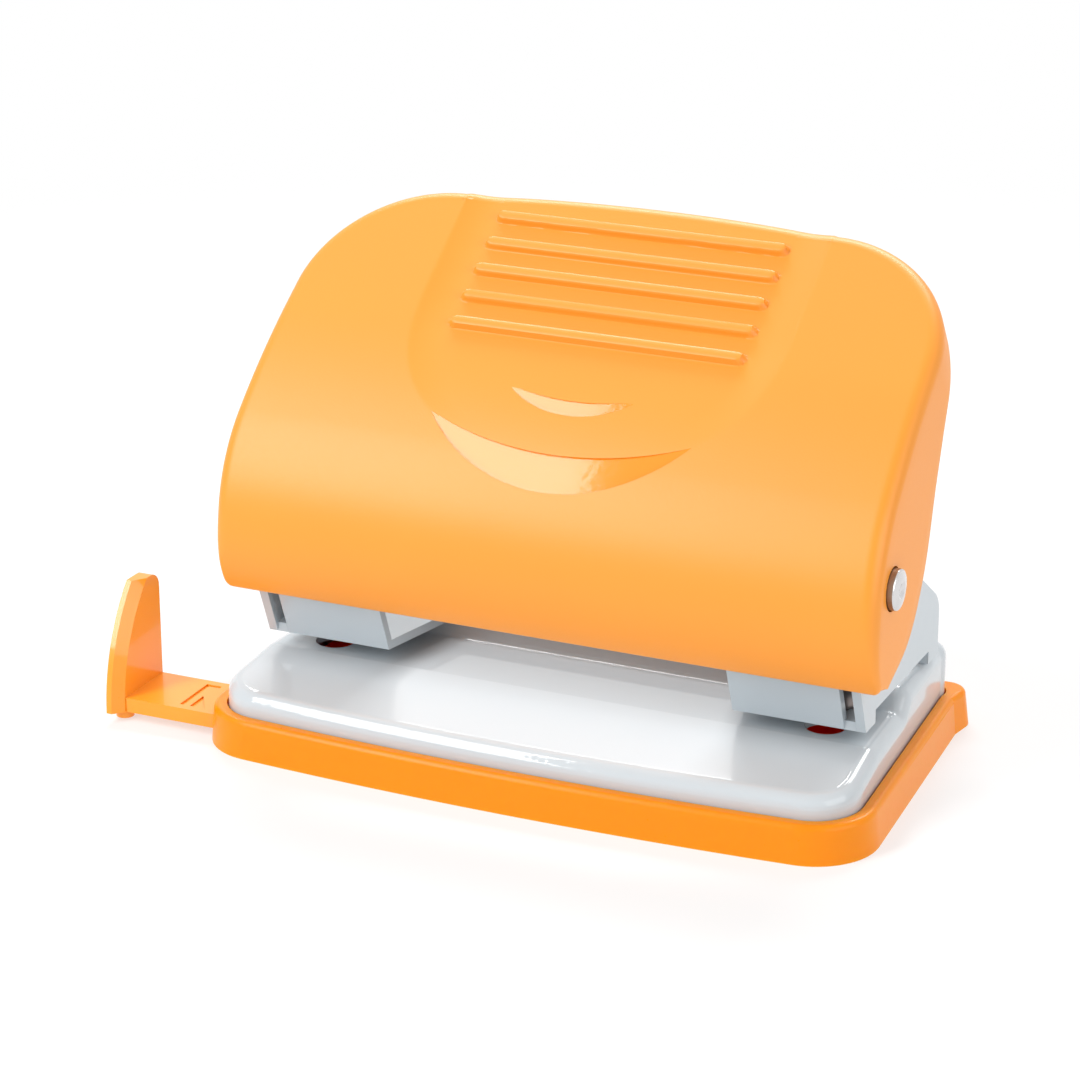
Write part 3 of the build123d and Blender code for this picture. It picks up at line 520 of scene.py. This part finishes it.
steels = {
    "rivet_steel": steel("bright zinc rivets", (0.72, 0.73, 0.74, 1), ALL_WAYS, 0.28),
    "bush_steel": steel("oiled bushes", (0.22, 0.19, 0.18, 1), ROUND_Z, 0.35),
    "axle_steel": steel("bright drawn bar", (0.64, 0.63, 0.63, 1), ALONG_X, 0.16),
    "clip_steel": steel("stamped clips", (0.5, 0.5, 0.52, 1), ALL_WAYS, 0.35),
    "lever_steel": steel("zinc sheet", (0.62, 0.63, 0.65, 1), ALONG_X, 0.38),
    "screw_steel": steel("zinc screws", (0.66, 0.65, 0.62, 1), ROUND_Z, 0.3),
    "pin_steel": steel("oiled pins", (0.24, 0.2, 0.18, 1), ALONG_Z, 0.2),
    "spring_steel": steel("spring wire", (0.42, 0.43, 0.45, 1), ALL_WAYS, 0.3),
}
finishes = {
    "tray_plastic": tray_gloss,
    "guide_plastic": guide_gloss,
    "plate_paint": plate_enamel,
    "frame_paint": frame_enamel,
    "cover_plastic": cover_satin,
    **steels,
}
for part in frame["record"]["subparts"]:
    mesh = frame["nodes"][part["node"]].data
    mesh.materials.clear()
    mesh.materials.append(finishes[part["material_slot"]])
print("finishes:", len(finishes))

# %% [markdown]
# ## The cover's side view
# The cover is one moulding: a flat slope for the palm rolls over a brow into a bulging front and
# tucks in at the hem. In the side view that is one straight line and three arcs, each leaving the
# last without a corner. We could drag a spline through points, but arcs that share their tangents
# give the same clean highlights that the mould gives, from four points and one angle.

# %% Side view of the cover, in millimetres
SLOPE = math.radians(35.3)
COVER_TOP = np.array((27.4, 77.4))
COVER_FLAT = 24.9
COVER_BROW = np.array((-8.3, 49.9))
COVER_BULGE = np.array((-15.4, 32.4))
COVER_HEM = np.array((-12.1, 22.4))
DOWN_SLOPE = np.array((-math.cos(SLOPE), -math.sin(SLOPE)))
INTO_SLOPE = np.array((math.sin(SLOPE), -math.cos(SLOPE)))
PROFILE_STEPS = 400


def left_of(way):
    return np.array((-way[1], way[0]))


def arc_onwards(start, way, end):
    """Points, headings and lengths along the arc that leaves start along way and ends at end."""
    chord = end - start
    side = left_of(way)
    radius = chord @ chord / (2 * (chord @ side))
    turn = 2 * math.atan2(chord @ side, chord @ way)
    angles = np.linspace(0, turn, PROFILE_STEPS)
    points = start + radius * (np.outer(np.sin(angles), way) + np.outer(1 - np.cos(angles), side))
    ways = np.outer(np.cos(angles), way) + np.outer(np.sin(angles), side)
    return points, ways, abs(radius * turn) * np.linspace(0, 1, PROFILE_STEPS)


def side_profile():
    flat_end = COVER_TOP + COVER_FLAT * DOWN_SLOPE
    points = [COVER_TOP[None], flat_end[None]]
    ways = [DOWN_SLOPE[None], DOWN_SLOPE[None]]
    lengths = [np.array((0.0,)), np.array((COVER_FLAT,))]
    for end in (COVER_BROW, COVER_BULGE, COVER_HEM):
        arc_points, arc_ways, arc_lengths = arc_onwards(points[-1][-1], ways[-1][-1], end)
        points.append(arc_points[1:])
        ways.append(arc_ways[1:])
        lengths.append(lengths[-1][-1] + arc_lengths[1:])
    return np.concatenate(points), np.concatenate(ways), np.concatenate(lengths)


PROFILE_POINTS, PROFILE_WAYS, PROFILE_LENGTHS = side_profile()
COVER_LENGTH = PROFILE_LENGTHS[-1]


def on_profile(s):
    """Place and heading in (Y, Z), at the distance s down the profile from the top edge."""
    if s < COVER_FLAT:
        return COVER_TOP + s * DOWN_SLOPE, DOWN_SLOPE
    place = np.array([np.interp(s, PROFILE_LENGTHS, PROFILE_POINTS[:, k]) for k in (0, 1)])
    way = np.array([np.interp(s, PROFILE_LENGTHS, PROFILE_WAYS[:, k]) for k in (0, 1)])
    return place, way / np.hypot(*way)


print("profile of the cover:", round(float(COVER_LENGTH), 1), "mm")

# %% [markdown]
# ## The cover's outline and rear edge
# Seen square to the slope, the cover is a slightly tapered plate with two big round top corners.
# Its side walls run back from that outline to a curved rear edge, deep beside the axle and only a
# lip at the top. The rear edge is a short list of depths below the slope with a smooth curve
# through them.

# %% Outline and rear edge
COVER_TOP_HALF = 50.9
COVER_TAPER = 2.1 / 96.0
COVER_CORNER = 21.0
TOP_BOW = 2.2
TOP_BOW_FULLNESS = 0.7
TOP_BOW_REACH = 9.0
COVER_BOTTOM_CORNER = 1.2
COVER_WALL = 1.8
EDGE_ROUND = 2.2
HEM_ROUND = 0.9
HEM_ROUND_REACH = 14.0
RIM_ROUND = 0.5
REAR_EDGE = np.array(((0, 3.5), (15.4, 7.5), (30, 15.5), (42, 23.1), (51.6, 25.6), (61.7, 23.3)))


def smooth_step(value):
    value = np.clip(value, 0, 1)
    return value * value * (3 - 2 * value)


def half_width(down):
    return COVER_TOP_HALF + COVER_TAPER * down


def top_bow(x, s):
    """How far the top edge arches up the slope between its corners."""
    across = np.clip(np.abs(x) / (COVER_TOP_HALF - COVER_CORNER), 0, 1)
    return TOP_BOW * (1 - across**2) ** TOP_BOW_FULLNESS * (1 - smooth_step(s / TOP_BOW_REACH))


def edge_round(s):
    """The rounding of the side edges, which gets tighter towards the hem."""
    near_hem = smooth_step((s - (COVER_LENGTH - HEM_ROUND_REACH)) / HEM_ROUND_REACH)
    return EDGE_ROUND + (HEM_ROUND - EDGE_ROUND) * near_hem


def bottom_tuck(height):
    """How far the bottom corners draw in, at a height above the hem."""
    left = np.clip(COVER_BOTTOM_CORNER - height, 0, COVER_BOTTOM_CORNER)
    return COVER_BOTTOM_CORNER - math.sqrt(COVER_BOTTOM_CORNER**2 - left**2)


def rear_depth(down):
    """Depth of the rear edge below the slope: a cubic through the listed depths."""
    x, y = REAR_EDGE.T
    slopes = np.gradient(y, x)
    k = int(np.clip(np.searchsorted(x, down) - 1, 0, len(x) - 2))
    gap = x[k + 1] - x[k]
    t = np.clip((down - x[k]) / gap, 0, 1)
    return (
        (2 * t**3 - 3 * t**2 + 1) * y[k]
        + (t**3 - 2 * t**2 + t) * gap * slopes[k]
        + (3 * t**2 - 2 * t**3) * y[k + 1]
        + (t**3 - t**2) * gap * slopes[k + 1]
    )


print("rear edge at the axle:", round(float(rear_depth(REAR_EDGE[-2][0])), 1), "mm deep")

# %% [markdown]
# ## Thumb recess and ribs
# The palm rests on a shallow recess with soft sides and five raised ribs. They are moulded into the
# skin, so they are worked out as a height at each point of it. The recess is a rounded dip that
# fades out down the slope. A rib comes from the distance to its centre line, which gives it round
# ends for free.

# %% Relief of the skin
RECESS_HALF = 29.4
RECESS_EDGE = 5.5
RECESS_DEPTH = 0.95
RECESS_FADE = (20.0, 46.0)
RECESS_STRAIGHT = 16.0
RECESS_END = 47.0
RECESS_SQUARENESS = 3.2
RIB_COUNT = 5
RIB_FIRST = 4.2
RIB_PITCH = 5.17
RIB_HALF = 23.6
RIB_WIDTH = 2.3
RIB_HEIGHT = 0.85
RIB_CROWN = 0.2
RIB_FLAT = 0.6


def relief(x, s):
    """Height of the skin above its plain form, in millimetres."""
    past = np.clip((s - RECESS_STRAIGHT) / (RECESS_END - RECESS_STRAIGHT), 0, 1)
    half = RECESS_HALF * np.sqrt(1 - past**RECESS_SQUARENESS)
    side = np.clip((half - np.abs(x)) / RECESS_EDGE, 0, 1)
    fade = 1 - smooth_step((s - RECESS_FADE[0]) / (RECESS_FADE[1] - RECESS_FADE[0]))
    height = -RECESS_DEPTH * (1 - (1 - side) ** 2) * fade
    for k in range(RIB_COUNT):
        past_end = np.maximum(np.abs(x) - (RIB_HALF - RIB_WIDTH / 2), 0)
        away = np.hypot(past_end, s - (RIB_FIRST + RIB_PITCH * k)) / (RIB_WIDTH / 2)
        height = height + RIB_HEIGHT * (1 - smooth_step((away - RIB_FLAT) / (1 - RIB_FLAT)))
        height = height + RIB_CROWN * np.maximum(1 - away**2, 0)
    return height


print("first rib:", round(float(relief(0.0, RIB_FIRST)), 2), "mm above the plain slope")

# %% [markdown]
# ## Laying out the cover's mesh
# A mesh of plain rows and columns would pinch at the round corners, so the rows follow the outline:
# each row ends on it, and a band of quads goes on from there round the edge and down the side wall.
# Rows crowd together on the slope, where the narrow ribs need them. The inner skin is the same
# layout with a quarter of the rows and columns, because nobody sees it close up, and a rounded rim
# joins the two into one closed shell.

# %% One layer of the cover
CORNER_ROWS = 240
LOWER_ROWS = 200
LOWER_CROWDING = 1.5
COLUMNS = 240
ROUND_STEPS = 8
WALL_STEPS = 8
INNER_EVERY = 4


def layer_rows(inset, every):
    """Distance down, half width, outward way (X, up the slope) and rounding of each row."""
    rows = []
    for index in range(0, CORNER_ROWS, every):
        phi = math.pi / 2 * index / CORNER_ROWS
        rounding = EDGE_ROUND if not inset else HEM_ROUND
        reach = COVER_CORNER - inset - rounding
        down = COVER_CORNER - reach * math.cos(phi)
        half = half_width(down) - COVER_CORNER + reach * math.sin(phi)
        rows.append((down, half, math.sin(phi), math.cos(phi), rounding))
    last = COVER_LENGTH - RIM_ROUND
    for index in range(0, LOWER_ROWS + 1, every):
        s = COVER_CORNER + (last - COVER_CORNER) * (index / LOWER_ROWS) ** LOWER_CROWDING
        place, _ = on_profile(s)
        down = (place - COVER_TOP) @ DOWN_SLOPE
        rounding = float(edge_round(s)) if not inset else HEM_ROUND
        half = half_width(down) - bottom_tuck(place[1] - COVER_HEM[1]) - inset - rounding
        rows.append((s, half, 1.0, 0.0, rounding))
    return rows


def solid_point(x, yz):
    return np.array((x, yz[0], yz[1]))


def wall_foot(row, place):
    """Where the side wall of a row ends on the rear edge, as (Y, Z)."""
    s, _, _, upward, rounding = row
    down = (place - COVER_TOP) @ DOWN_SLOPE
    if s < COVER_CORNER:
        down -= rounding * upward
    else:
        hem_down = (COVER_HEM - COVER_TOP) @ DOWN_SLOPE
        share = (down - COVER_CORNER) / (hem_down - COVER_CORNER)
        down = COVER_CORNER + share * (REAR_EDGE[-1][0] - COVER_CORNER)
    return COVER_TOP + down * DOWN_SLOPE + rear_depth(max(down, 0)) * INTO_SLOPE


def edge_band(row, x, place, way, sign, every):
    """Points from a row's end round the edge and down the wall, and the wall's own direction."""
    _, _, outward, upward, rounding = row
    inward = left_of(way)
    out = np.array((sign * outward, -way[0] * upward, -way[1] * upward))
    into = np.array((0, inward[0], inward[1]))
    start = solid_point(x, place)
    band = []
    for step in range(every, ROUND_STEPS + 1, every):
        angle = math.pi / 2 * step / ROUND_STEPS
        turned = out * math.sin(angle) + into * (1 - math.cos(angle))
        band.append(start + rounding * turned)
    foot = solid_point(band[-1][0], wall_foot(row, place))
    top = band[-1]
    for step in range(every, WALL_STEPS + 1, every):
        band.append(top + (foot - top) * step / WALL_STEPS)
    wall_way = foot - top
    return band, wall_way / np.linalg.norm(wall_way)


def cover_layer(points, inset, every):
    """Adds one skin to the points, and returns its faces and the loop round its open edge."""
    rows = layer_rows(inset, every)
    columns = COLUMNS // every
    faces, grid, bands, ends = [], [], [], []

    def add(point):
        points.append(point)
        return len(points) - 1

    def ring_sample(row, vertex, x, place, way, sign):
        band, wall_way = edge_band(row, x, place, way, sign, every)
        bands.append([vertex] + [add(point) for point in band])
        ends.append(wall_way)

    places = []
    for row in rows:
        place, way = on_profile(row[0])
        across = np.linspace(-1, 1, columns + 1) * row[1]
        bow = top_bow(across, row[0])
        rise = relief(across, row[0] - bow) if not inset else np.full(columns + 1, -inset)
        inward = left_of(way)
        bumped = [place - inward * lift - way * shift for lift, shift in zip(rise, bow)]
        grid.append([add(solid_point(x, yz)) for x, yz in zip(across, bumped)])
        places.append((across, bumped, way))
    last = len(rows) - 1
    for j in range(last, -1, -1):
        across, bumped, way = places[j]
        ring_sample(rows[j], grid[j][0], across[0], bumped[0], way, -1)
    across, bumped, way = places[0]
    for i in range(1, columns):
        ring_sample(rows[0], grid[0][i], across[i], bumped[i], way, 0)
    for j in range(last + 1):
        across, bumped, way = places[j]
        ring_sample(rows[j], grid[j][-1], across[-1], bumped[-1], way, 1)
    for j in range(last):
        for i in range(columns):
            faces.append((grid[j][i], grid[j + 1][i], grid[j + 1][i + 1], grid[j][i + 1]))
    for first, second in zip(bands, bands[1:]):
        for k in range(len(first) - 1):
            faces.append((first[k], first[k + 1], second[k + 1], second[k]))
    loop = [(band[-1], end) for band, end in zip(bands, ends)]
    _, hem_way = on_profile(COVER_LENGTH)
    hem_end = np.array((0, hem_way[0], hem_way[1]))
    under = bands[-1][-2::-1] + grid[last][-2:0:-1] + bands[0][:-1]
    loop += [(vertex, hem_end) for vertex in under]
    return faces, loop


# %% Joining the layers
# Steps over the rim: share of the way from the outer to the inner skin, and share of the rounding.
RIM_PROFILE = ((0.08, 0.7), (0.28, 1.0), (0.72, 1.0), (0.92, 0.7))


def cover_shell():
    """All points and faces of the closed shell, in millimetres."""
    points = []
    faces, outer_loop = cover_layer(points, 0.0, 1)
    inner_faces, inner_loop = cover_layer(points, COVER_WALL, INNER_EVERY)
    faces += inner_faces
    count = len(outer_loop)
    ring = [vertex for vertex, _ in outer_loop]
    for share, reach in RIM_PROFILE:
        next_ring = []
        for i, (vertex, end) in enumerate(outer_loop):
            k, part = divmod(i, INNER_EVERY)
            near = points[inner_loop[k][0]]
            far = points[inner_loop[(k + 1) % len(inner_loop)][0]]
            inside = near + (far - near) * part / INNER_EVERY
            outside = points[vertex]
            points.append(outside + (inside - outside) * share + end * RIM_ROUND * reach)
            next_ring.append(len(points) - 1)
        for i in range(count):
            j = (i + 1) % count
            faces.append((ring[i], ring[j], next_ring[j], next_ring[i]))
        ring = next_ring
    for k in range(len(inner_loop)):
        outer_part = [ring[(k * INNER_EVERY + part) % count] for part in range(INNER_EVERY + 1)]
        inner_part = [inner_loop[(k + 1) % len(inner_loop)][0], inner_loop[k][0]]
        faces.append(tuple(outer_part + inner_part))
    return points, faces


def new_mesh(name, points, faces):
    mesh = bpy.data.meshes.new(name)
    mesh.from_pydata([Vector(point) * MM for point in points], [], faces)
    form = bmesh.new()
    form.from_mesh(mesh)
    bmesh.ops.recalc_face_normals(form, faces=form.faces)
    open_edges = sum(not edge.is_manifold for edge in form.edges)
    form.to_mesh(mesh)
    form.free()
    print(name, len(mesh.polygons), "faces, open edges", open_edges)
    return mesh


def new_piece(name, mesh):
    piece = bpy.data.objects.new(name, mesh)
    scene.collection.objects.link(piece)
    return piece


cover = new_piece("cover_shell", new_mesh("cover_shell", *cover_shell()))
cover.data.materials.append(cover_satin)
cover.data.materials.append(cover_polish)

# %% [markdown]
# ## Crescents and axle windows
# Two flat crescents are cut into the brow, polished in the mould, and a round window in each side
# lets the axle through. Cutting them from the finished shell with one boolean keeps their edges
# crisp, and the cutter's own material marks the polished faces. Edges where the finish changes are
# then marked sharp, so the flat stays flat in its reflections.

# %% Cutters
PIVOT = np.array((-8.1, 37.3))
AXLE_WINDOW_RADIUS = 3.25
# Each crescent: lowest point (Y, Z), slope in degrees, half width, sag of its upper and lower arc.
BIG_CRESCENT = ((-11.9, 45.1), 49.5, 20.5, 4.15, 10.0)
SMALL_CRESCENT = ((-3.05, 53.8), 49.5, 10.1, 1.3, 3.8)
CRESCENT_STEPS = 56
CUT_REACH = 14.0
WINDOW_STEPS = 64


def sag_arc(half, sag, steps):
    """Points of the arc from (-half, sag) down to (0, 0) and up to (half, sag)."""
    radius = (half**2 + sag**2) / (2 * sag)
    swing = math.asin(half / radius)
    angles = np.linspace(-swing, swing, steps)
    return np.stack([radius * np.sin(angles), radius * (1 - np.cos(angles))], 1)


def prism(points, faces, polish, ring, way, polished):
    """A closed prism on a flat ring of points, drawn out along way."""
    base = len(points)
    count = len(ring)
    points += list(ring) + [point + way for point in ring]
    faces.append(tuple(range(base, base + count)))
    faces.append(tuple(range(base + count, base + 2 * count)))
    for i in range(count):
        j = (i + 1) % count
        faces.append((base + i, base + j, base + count + j, base + count + i))
    polish += [polished] * (count + 2)


def crescent_ring(lowest, slope, half, upper_sag, lower_sag):
    tilt = math.radians(slope)
    lower = sag_arc(half, lower_sag, CRESCENT_STEPS)
    upper = sag_arc(half, upper_sag, CRESCENT_STEPS) + (0, lower_sag - upper_sag)
    outline = np.concatenate([lower, upper[-2:0:-1]])
    up_slope = np.array((math.cos(tilt), math.sin(tilt)))
    flat = [solid_point(x, np.array(lowest) + up_slope * h) for x, h in outline]
    return flat, CUT_REACH * np.array((0, -math.sin(tilt), math.cos(tilt)))


def cover_cutter():
    points, faces, polish = [], [], []
    for shape in (BIG_CRESCENT, SMALL_CRESCENT):
        ring, way = crescent_ring(*shape)
        prism(points, faces, polish, ring, way, 1)
    reach = 2 * COVER_TOP_HALF
    angles = np.linspace(0, 2 * math.pi, WINDOW_STEPS, endpoint=False)
    circle = AXLE_WINDOW_RADIUS * np.stack([np.cos(angles), np.sin(angles)], 1)
    ring = [solid_point(-reach, PIVOT + offset) for offset in circle]
    prism(points, faces, polish, ring, np.array((2 * reach, 0, 0)), 0)
    cutter = new_piece("cover_cutter", new_mesh("cover_cutter", points, faces))
    for material in cover.data.materials:
        cutter.data.materials.append(material)
    for polygon, index in zip(cutter.data.polygons, polish):
        polygon.material_index = index
    return cutter


# %% Cutting the cover
SHARP_ANGLE = math.radians(38)


def cut(piece, cutter):
    """Applies the boolean and throws the cutter away."""
    boolean = piece.modifiers.new("cut", "BOOLEAN")
    boolean.operation = "DIFFERENCE"
    boolean.solver = "EXACT"
    boolean.object = cutter
    graph = bpy.context.evaluated_depsgraph_get()
    result = bpy.data.meshes.new_from_object(piece.evaluated_get(graph))
    piece.modifiers.clear()
    piece.data = result
    bpy.data.objects.remove(cutter)


def mark_sharp(mesh, angle):
    """Smooth shading, with sharp edges at corners and wherever the finish changes."""
    form = bmesh.new()
    form.from_mesh(mesh)
    for face in form.faces:
        face.smooth = True
    for edge in form.edges:
        two = len(edge.link_faces) == 2
        changes = two and edge.link_faces[0].material_index != edge.link_faces[1].material_index
        edge.smooth = not (changes or (two and edge.calc_face_angle(0) > angle))
    form.to_mesh(mesh)
    form.free()


cut(cover, cover_cutter())
mark_sharp(cover.data, SHARP_ANGLE)
cover.data.name = "cover_shell"
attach(cover, "handle")
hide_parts("handle_cover")
print("cover:", len(cover.data.polygons), "faces")

# %% [markdown]
# ## Axle ends
# The axle is a plain drawn bar whose ends stand out a little from the windows of the cover. They
# are rolled to a low dome with a centre mark, so they catch a bright spot; the bar's side, seen in
# the window gap, is coloured with a painted shade of dark brown instead of its steel. A lathe does
# the dome best: one half profile, turned round the axis.

# %% Lathe
LATHE_STEPS = 64


def lathe(profile, centre):
    """A solid turned round the X axis from (X, radius) points, which start and end on the axis."""
    points = [np.array((profile[0][0], *centre)), np.array((profile[-1][0], *centre))]
    faces = []
    for x, radius in profile[1:-1]:
        for step in range(LATHE_STEPS):
            angle = 2 * math.pi * step / LATHE_STEPS
            offset = radius * np.array((math.cos(angle), math.sin(angle)))
            points.append(solid_point(x, centre + offset))
    rings = len(profile) - 2
    last = 2 + (rings - 1) * LATHE_STEPS
    for step in range(LATHE_STEPS):
        after = (step + 1) % LATHE_STEPS
        faces.append((0, 2 + step, 2 + after))
        faces.append((1, last + after, last + step))
        for ring in range(rings - 1):
            base = 2 + ring * LATHE_STEPS
            outer = base + LATHE_STEPS
            faces.append((base + step, outer + step, outer + after, base + after))
    return points, faces


# %% Axle
AXLE_RADIUS = 3.0
AXLE_REACH = 53.5
AXLE_CROWN = 0.35
AXLE_EDGE = 0.3
AXLE_DIMPLE = (1.2, 0.45)  # radius and depth
AXLE_END_RINGS = 13
AXLE_EDGE_RINGS = 7
AXLE_GROOVE = (48.25, 49.05, 2.5)  # inner and outer side, radius of the neck
# Painted shade: the dark brown colour that the bar's side gets, standing in for the shade in the
# window gap.
AXLE_PAINTED_SHADE = (0.30, 0.21, 0.15, 1)
AXLE_UNSHADED_LEAST = 0.35  # a face that looks out along X by this much is bright


def axle_half():
    """(X, radius) from the middle of the right end back to the inner side of the groove."""
    flat = AXLE_RADIUS - AXLE_EDGE
    wide, deep = AXLE_DIMPLE
    profile = [
        (AXLE_REACH - AXLE_CROWN * (r / flat) ** 2 - deep * max(1 - (r / wide) ** 2, 0), r)
        for r in np.linspace(0, flat, AXLE_END_RINGS)
    ]
    edge_x = profile[-1][0] - AXLE_EDGE
    for angle in np.linspace(0, math.pi / 2, AXLE_EDGE_RINGS)[1:]:
        profile.append((edge_x + AXLE_EDGE * math.cos(angle), flat + AXLE_EDGE * math.sin(angle)))
    inner, outer, neck = AXLE_GROOVE
    return profile + [(outer, AXLE_RADIUS), (outer, neck), (inner, neck), (inner, AXLE_RADIUS)]


right_half = axle_half()
axle = new_piece("axle_bar", new_mesh("axle_bar", *lathe(
    right_half + [(-x, radius) for x, radius in reversed(right_half)], PIVOT)))
axle.data.materials.append(steels["axle_steel"])
axle.data.materials.append(steel("drawn bar painted shade", AXLE_PAINTED_SHADE, ALONG_X, 0.35))
# Painted shade: faces that don't look out along X get the dark brown copy of the steel; the ends keep
# the bright one.
for polygon in axle.data.polygons:
    polygon.material_index = int(abs(polygon.normal.x) < AXLE_UNSHADED_LEAST)
mark_sharp(axle.data, SHARP_ANGLE)
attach(axle, "frame")
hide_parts("pivot_axle")
print("axle:", len(axle.data.polygons), "faces")

# %% [markdown]
# ## Return springs
# A coil spring round each pin lifts the handle again. It is wound from drawn wire with its end
# turns laid close, so that it stands square on the bush. A tube along a helix makes it. The spring
# moves with its pin.

# %% Springs
SPRING_X = 40.0
SPRING_LOW = 21.85
SPRING_TOP = 32.5
SPRING_WIRE = 0.9
SPRING_MEAN = 7.7
SPRING_TURNS = 5
SPRING_END_TURNS = 0.8
SPRING_END_PITCH = 1.1
SPRING_TURN_STEPS = 40
WIRE_STEPS = 10


def spring_height(turn):
    """Height of the wire's middle after some turns: close turns at both ends, even ones between."""
    rise = SPRING_TOP - SPRING_LOW - SPRING_WIRE
    ends = SPRING_END_TURNS * SPRING_END_PITCH
    turns = (0, SPRING_END_TURNS, SPRING_TURNS - SPRING_END_TURNS, SPRING_TURNS)
    return SPRING_LOW + SPRING_WIRE / 2 + np.interp(turn, turns, (0, ends, rise - ends, rise))


def spring_coil(x):
    """A tube round the pin's axis, closed at both ends."""
    points, faces = [], []
    count = SPRING_TURNS * SPRING_TURN_STEPS
    for index in range(count + 1):
        turn = index / SPRING_TURN_STEPS
        angle = 2 * math.pi * turn
        outward = np.array((math.cos(angle), math.sin(angle), 0))
        middle = np.array((x, 0, spring_height(turn))) + outward * SPRING_MEAN / 2
        for step in range(WIRE_STEPS):
            around = 2 * math.pi * step / WIRE_STEPS
            offset = outward * math.cos(around) + np.array((0, 0, math.sin(around)))
            points.append(middle + offset * SPRING_WIRE / 2)
    for index in range(count):
        for step in range(WIRE_STEPS):
            here = index * WIRE_STEPS + step
            after = index * WIRE_STEPS + (step + 1) % WIRE_STEPS
            faces.append((here, after, after + WIRE_STEPS, here + WIRE_STEPS))
    faces.append(tuple(range(WIRE_STEPS)))
    faces.append(tuple(range(count * WIRE_STEPS, (count + 1) * WIRE_STEPS)))
    return points, faces


for side, sign in (("left", -1), ("right", 1)):
    name = "return_coil_" + side
    coil = new_piece(name, new_mesh(name, *spring_coil(sign * SPRING_X)))
    coil.data.materials.append(steels["spring_steel"])
    mark_sharp(coil.data, SHARP_ANGLE)
    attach(coil, "pin_" + side)
    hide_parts("return_spring_" + side)
    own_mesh(coil)
